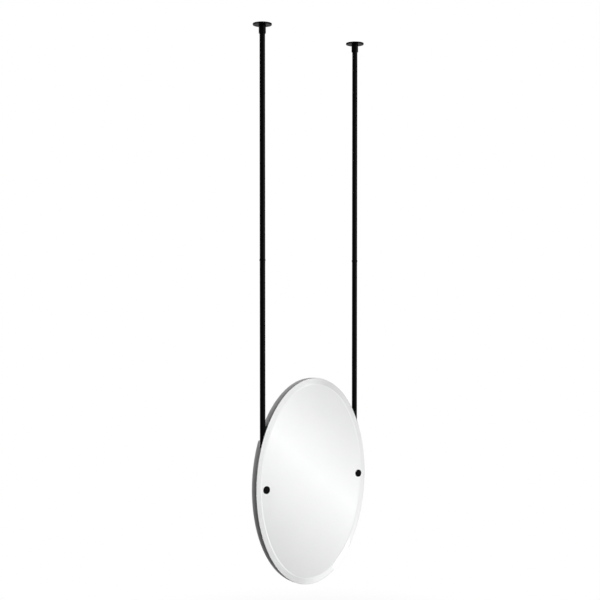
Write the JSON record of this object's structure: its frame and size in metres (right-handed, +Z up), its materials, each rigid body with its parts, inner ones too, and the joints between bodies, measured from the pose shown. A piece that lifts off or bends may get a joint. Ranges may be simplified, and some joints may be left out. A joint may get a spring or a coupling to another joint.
{
  "type": "ceiling-hung mirror",
  "caption": "Tall oval bevelled mirror that hangs from the ceiling on straight round rods and tilts on pins at its mid-height, held by round knobs on its face.",
  "frame": {"origin": "on the ceiling, midway between the axes of the two rods", "axes": "+Z up along the rods, +X to the right as one faces the mirror, -Y the way the mirror faces"},
  "size_m": [0.5334, 0.0652, 1.9583],
  "materials": {
    "mirror_glass": "polished, with a wide polished bevel",
    "silvering": "bright silver under the glass",
    "foam_tape": "white foam tape",
    "grey_board": "grey satin lacquer on fibreboard",
    "black_metal": "satin black powder coat on steel",
    "black_knob": "satin black on turned metal",
    "black_fastener": "blackened steel",
    "zinc_steel": "zinc plated steel",
    "plain_steel": "plain turned steel",
    "black_nylon": "black nylon",
    "clear_nylon": "natural nylon"
  },
  "bodies": {
    "hanger": {"ceiling_plate_left": "zinc_steel", "ceiling_plate_right": "zinc_steel", "rod_top_bush_left": "plain_steel", "rod_top_bush_right": "plain_steel", "upper_rod_left": "black_metal", "upper_rod_right": "black_metal", "upper_joint_bush_left": "plain_steel", "upper_joint_bush_right": "plain_steel", "joint_ring_left": "black_metal", "joint_ring_right": "black_metal", "joint_stud_left": "zinc_steel", "joint_stud_right": "zinc_steel", "lower_joint_bush_left": "plain_steel", "lower_joint_bush_right": "plain_steel", "lower_rod_left": "black_metal", "lower_rod_right": "black_metal", "rod_end_fork_left": "black_metal", "rod_end_fork_right": "black_metal", "swivel_pin_left": "zinc_steel", "swivel_pin_right": "zinc_steel"},
    "mirror": {"glass_pane": "mirror_glass", "silver_coating": "silvering", "mounting_tape": "foam_tape", "backing_board": "grey_board", "swivel_stud_left": "zinc_steel", "swivel_stud_right": "zinc_steel", "rear_washer_left": "black_nylon", "rear_washer_right": "black_nylon", "hole_sleeve_left": "clear_nylon", "hole_sleeve_right": "clear_nylon"},
    "cover_left": {"cover_flange_left": "black_metal", "collar_screw_left": "black_fastener"},
    "knob_washer_left": {"front_washer_left": "black_nylon"},
    "knob_left": {"knob_left": "black_knob"},
    "cover_right": {"cover_flange_right": "black_metal", "collar_screw_right": "black_fastener"},
    "knob_washer_right": {"front_washer_right": "black_nylon"},
    "knob_right": {"knob_right": "black_knob"}
  },
  "joints": [
    {"name": "mirror_tilt", "type": "hinge", "parent": "hanger", "child": "mirror", "pos_m": [0, 0, -1.59], "axis": [1, 0, 0], "range_deg": [0, 15]},
    {"name": "cover_slide_left", "type": "slide", "parent": "hanger", "child": "cover_left", "axis": [0, 0, -1], "range_m": [0, 0.7665]},
    {"name": "knob_travel_left", "type": "slide", "parent": "mirror", "child": "knob_washer_left", "axis": [0, -1, 0], "range_m": [0, 0.002]},
    {"name": "knob_turn_left", "type": "hinge", "parent": "knob_washer_left", "child": "knob_left", "pos_m": [-0.22625, 0, -1.59], "axis": [0, -1, 0], "range_deg": [0, 720]},
    {"name": "cover_slide_right", "type": "slide", "parent": "hanger", "child": "cover_right", "axis": [0, 0, -1], "range_m": [0, 0.7665]},
    {"name": "knob_travel_right", "type": "slide", "parent": "mirror", "child": "knob_washer_right", "axis": [0, -1, 0], "range_m": [0, 0.002]},
    {"name": "knob_turn_right", "type": "hinge", "parent": "knob_washer_right", "child": "knob_right", "pos_m": [0.22625, 0, -1.59], "axis": [0, -1, 0], "range_deg": [0, 720]}
  ],
  "couplings": [
    {"joint": "knob_travel_left", "follows": "knob_turn_left", "m_per_rad": 0.00015915},
    {"joint": "knob_travel_right", "follows": "knob_turn_right", "m_per_rad": 0.00015915}
  ]
}
